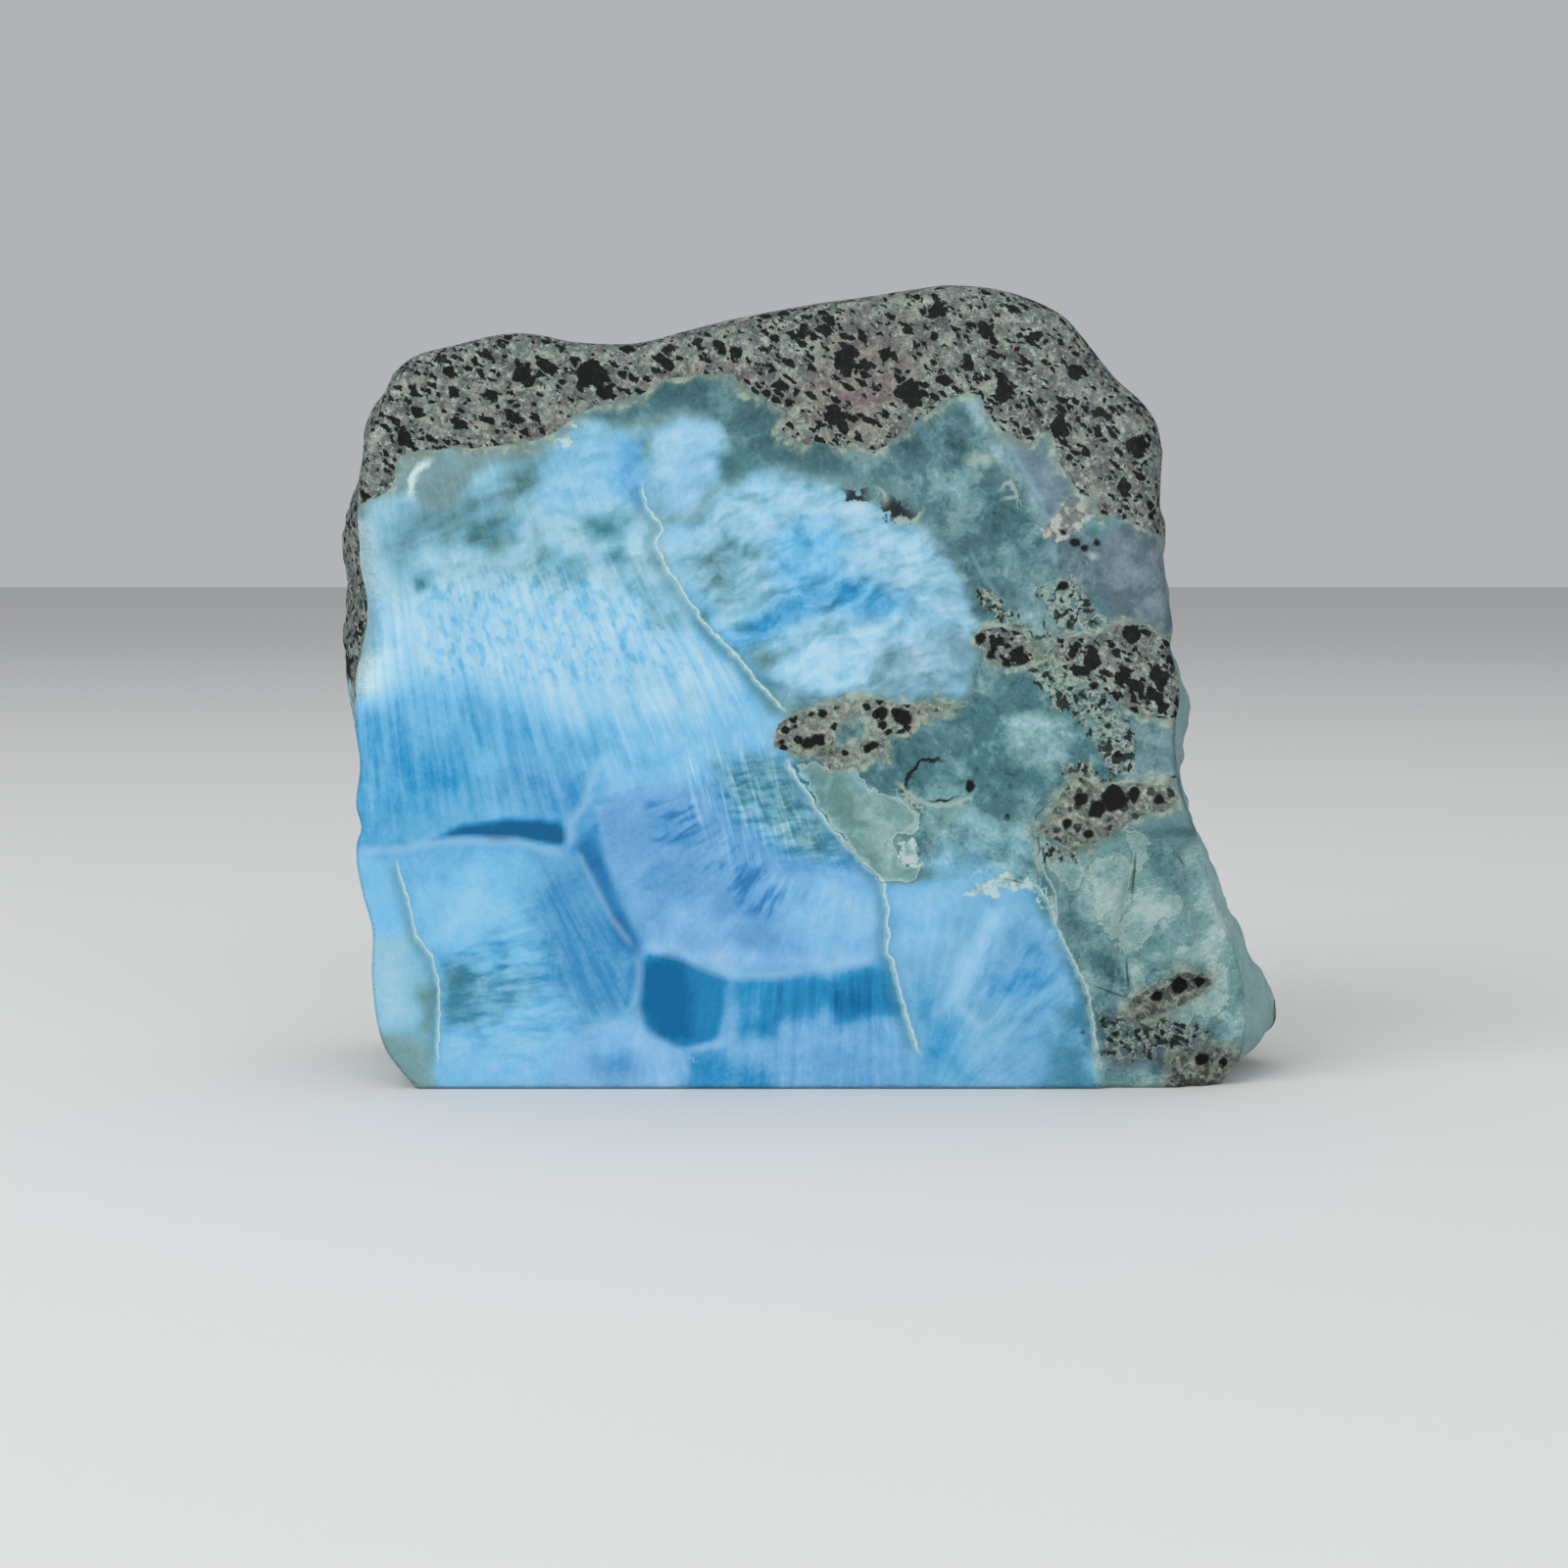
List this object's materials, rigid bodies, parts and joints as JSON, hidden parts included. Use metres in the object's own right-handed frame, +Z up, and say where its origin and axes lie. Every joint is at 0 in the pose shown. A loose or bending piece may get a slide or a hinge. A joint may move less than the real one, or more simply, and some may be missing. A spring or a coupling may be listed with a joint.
{
  "type": "rough larimar",
  "caption": "Rough larimar specimen: a thick slab of natural stone with a polished blue face, a worn basalt cap, a broken rough back and a flat sawn base to stand on.",
  "frame": {"origin": "on the base plane, under the middle of the stone's bounding box", "axes": "+Z up from the sawn base; -Y the way the polished face looks; +X to the right of someone who looks at the polished face"},
  "size_m": [0.0806, 0.0278, 0.0662],
  "materials": {
    "stone": "polished blue pectolite with white fibres on the face, grey-green speckled basalt with dark crystals on the cap, the sides and the back"
  },
  "bodies": {
    "root": {"larimar_stone": "stone"}
  },
  "joints": []
}
